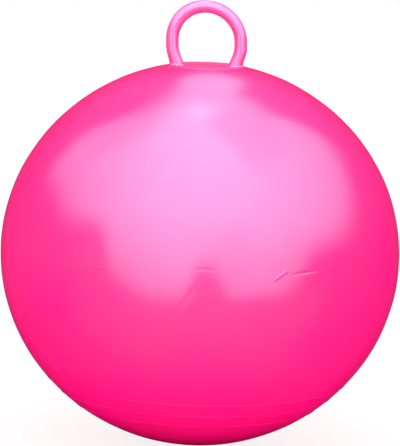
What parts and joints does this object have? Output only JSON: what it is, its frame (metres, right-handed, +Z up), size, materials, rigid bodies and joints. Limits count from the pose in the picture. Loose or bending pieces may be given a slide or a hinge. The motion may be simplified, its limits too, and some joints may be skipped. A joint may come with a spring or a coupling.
{
  "type": "hopper ball",
  "caption": "Blown-up vinyl ball with a ring handle on top, which a child sits on, holds and bounces along with; a stopper closes its air valve.",
  "frame": {"origin": "on the floor under the middle of the ball", "axes": "+Z up through the middle of the ball and its handle; -Y is the front, from where the loop is seen face on; the valve is at the back, at +Y"},
  "size_m": [0.4499, 0.45, 0.5],
  "materials": {
    "ball_vinyl": "soft PVC (plastisol), moulded, glossy hot pink",
    "handle_vinyl": "soft PVC, moulded, satin gloss, slightly lighter pink",
    "valve_vinyl": "soft PVC, moulded, satin pink",
    "stopper_plastic": "polyethylene, moulded, matt pink"
  },
  "bodies": {
    "ball": {"ball_skin": "ball_vinyl", "handle": "handle_vinyl", "valve_bush": "valve_vinyl"},
    "stopper": {"valve_plug": "stopper_plastic"}
  },
  "joints": [
    {"name": "stopper_pull", "type": "slide", "parent": "ball", "child": "stopper", "axis": [0, 0.4384, 0.8988], "range_m": [0, 0.03]}
  ]
}
